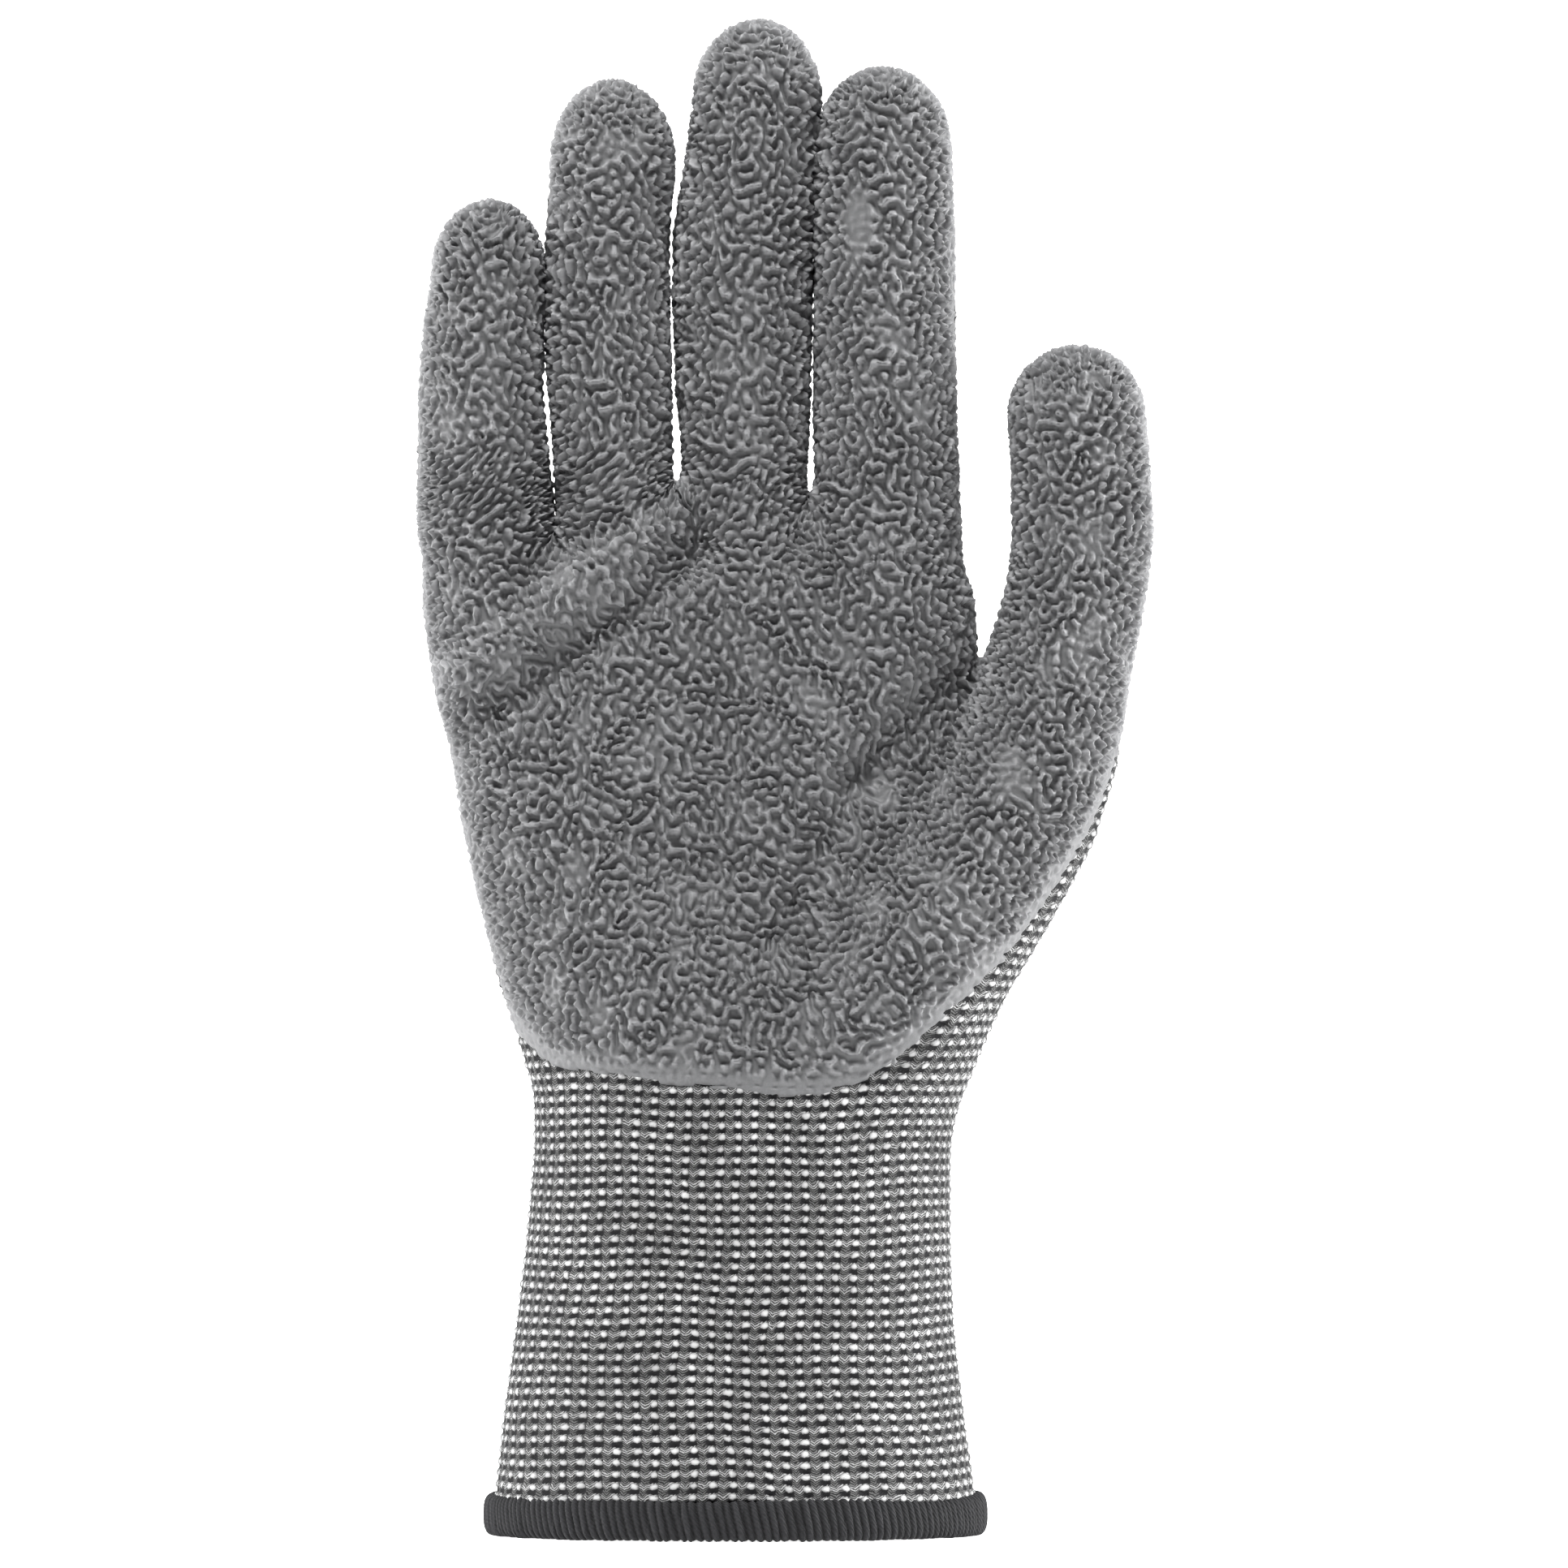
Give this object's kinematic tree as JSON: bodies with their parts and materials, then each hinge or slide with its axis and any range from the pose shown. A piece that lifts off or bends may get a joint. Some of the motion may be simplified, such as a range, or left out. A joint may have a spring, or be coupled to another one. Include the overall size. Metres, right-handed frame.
{
  "type": "cut resistant glove",
  "caption": "Right-hand knitted work glove with a crinkled latex palm coat, elastic knit cuff and overlocked hem, jointed at the wrist, thumb and fingers.",
  "frame": {"origin": "bottom centre of the glove as it stands on its hem: middle of its width and thickness, at the hem's lower edge", "axes": "+Z along the fingers, -Y out of the palm, +X towards the thumb"},
  "size_m": [0.1203, 0.0548, 0.25],
  "materials": {
    "knit_liner": "marled grey and white knit",
    "latex_coat": "matt crinkle latex",
    "overlock_thread": "black overlock thread",
    "elastic_yarn": "covered elastic yarn"
  },
  "bodies": {
    "cuff": {"knit_cuff": "knit_liner", "cuff_elastic": "elastic_yarn", "hem_overlock": "overlock_thread"},
    "hand": {"knit_hand": "knit_liner", "coat_hand": "latex_coat"},
    "index_lower": {"knit_index_lower": "knit_liner", "coat_index_lower": "latex_coat"},
    "index_mid": {"knit_index_mid": "knit_liner", "coat_index_mid": "latex_coat"},
    "index_tip": {"knit_index_tip": "knit_liner", "coat_index_tip": "latex_coat"},
    "middle_lower": {"knit_middle_lower": "knit_liner", "coat_middle_lower": "latex_coat"},
    "middle_mid": {"knit_middle_mid": "knit_liner", "coat_middle_mid": "latex_coat"},
    "middle_tip": {"knit_middle_tip": "knit_liner", "coat_middle_tip": "latex_coat"},
    "ring_lower": {"knit_ring_lower": "knit_liner", "coat_ring_lower": "latex_coat"},
    "ring_mid": {"knit_ring_mid": "knit_liner", "coat_ring_mid": "latex_coat"},
    "ring_tip": {"knit_ring_tip": "knit_liner", "coat_ring_tip": "latex_coat"},
    "little_lower": {"knit_little_lower": "knit_liner", "coat_little_lower": "latex_coat"},
    "little_mid": {"knit_little_mid": "knit_liner", "coat_little_mid": "latex_coat"},
    "little_tip": {"knit_little_tip": "knit_liner", "coat_little_tip": "latex_coat"},
    "thumb_lower": {"knit_thumb_lower": "knit_liner", "coat_thumb_lower": "latex_coat"},
    "thumb_tip": {"knit_thumb_tip": "knit_liner", "coat_thumb_tip": "latex_coat"}
  },
  "joints": [
    {"name": "wrist", "type": "hinge", "parent": "cuff", "child": "hand", "pos_m": [-0.00655, 0, 0.06], "axis": [1, 0, 0], "range_deg": [-40, 40], "stiffness_Nm_per_rad": 0.35},
    {"name": "index_knuckle", "type": "hinge", "parent": "hand", "child": "index_lower", "pos_m": [0.0167, -0.003, 0.175], "axis": [1, 0, 0], "range_deg": [0, 75], "stiffness_Nm_per_rad": 0.03},
    {"name": "index_mid_joint", "type": "hinge", "parent": "index_lower", "child": "index_mid", "pos_m": [0.0167, -0.003, 0.1972], "axis": [1, 0, 0], "range_deg": [0, 85], "stiffness_Nm_per_rad": 0.02},
    {"name": "index_end_joint", "type": "hinge", "parent": "index_mid", "child": "index_tip", "pos_m": [0.0167, -0.003, 0.2196], "axis": [1, 0, 0], "range_deg": [0, 51], "stiffness_Nm_per_rad": 0.01},
    {"name": "middle_knuckle", "type": "hinge", "parent": "hand", "child": "middle_lower", "pos_m": [-0.0068, -0.0015, 0.177], "axis": [1, 0, 0], "range_deg": [0, 75], "stiffness_Nm_per_rad": 0.03},
    {"name": "middle_mid_joint", "type": "hinge", "parent": "middle_lower", "child": "middle_mid", "pos_m": [-0.0068, -0.0015, 0.20136], "axis": [1, 0, 0], "range_deg": [0, 85], "stiffness_Nm_per_rad": 0.02},
    {"name": "middle_end_joint", "type": "hinge", "parent": "middle_mid", "child": "middle_tip", "pos_m": [-0.0068, -0.0015, 0.22568], "axis": [1, 0, 0], "range_deg": [0, 51], "stiffness_Nm_per_rad": 0.01},
    {"name": "ring_knuckle", "type": "hinge", "parent": "hand", "child": "ring_lower", "pos_m": [-0.0291, -0.003, 0.177], "axis": [1, 0, 0], "range_deg": [0, 75], "stiffness_Nm_per_rad": 0.03},
    {"name": "ring_mid_joint", "type": "hinge", "parent": "ring_lower", "child": "ring_mid", "pos_m": [-0.0291, -0.003, 0.19776], "axis": [1, 0, 0], "range_deg": [0, 85], "stiffness_Nm_per_rad": 0.02},
    {"name": "ring_end_joint", "type": "hinge", "parent": "ring_mid", "child": "ring_tip", "pos_m": [-0.0291, -0.003, 0.21888], "axis": [1, 0, 0], "range_deg": [0, 51], "stiffness_Nm_per_rad": 0.01},
    {"name": "little_knuckle", "type": "hinge", "parent": "hand", "child": "little_lower", "pos_m": [-0.0501, -0.003, 0.169], "axis": [1, 0, 0], "range_deg": [0, 75], "stiffness_Nm_per_rad": 0.03},
    {"name": "little_mid_joint", "type": "hinge", "parent": "little_lower", "child": "little_mid", "pos_m": [-0.0501, -0.003, 0.18544], "axis": [1, 0, 0], "range_deg": [0, 85], "stiffness_Nm_per_rad": 0.02},
    {"name": "little_end_joint", "type": "hinge", "parent": "little_mid", "child": "little_tip", "pos_m": [-0.0501, -0.003, 0.20272], "axis": [1, 0, 0], "range_deg": [0, 51], "stiffness_Nm_per_rad": 0.01},
    {"name": "thumb_knuckle", "type": "hinge", "parent": "hand", "child": "thumb_lower", "pos_m": [0.04527, -0.005, 0.145], "axis": [-0.866, 0.5, 0], "range_deg": [-50, 0], "stiffness_Nm_per_rad": 0.04},
    {"name": "thumb_end_joint", "type": "hinge", "parent": "thumb_lower", "child": "thumb_tip", "pos_m": [0.0488, -0.005, 0.16738], "axis": [-0.866, 0.5, 0], "range_deg": [-60, 0], "stiffness_Nm_per_rad": 0.02}
  ],
  "couplings": [
    {"joint": "index_end_joint", "follows": "index_mid_joint", "ratio": 0.6},
    {"joint": "middle_end_joint", "follows": "middle_mid_joint", "ratio": 0.6},
    {"joint": "ring_end_joint", "follows": "ring_mid_joint", "ratio": 0.6},
    {"joint": "little_end_joint", "follows": "little_mid_joint", "ratio": 0.6}
  ]
}
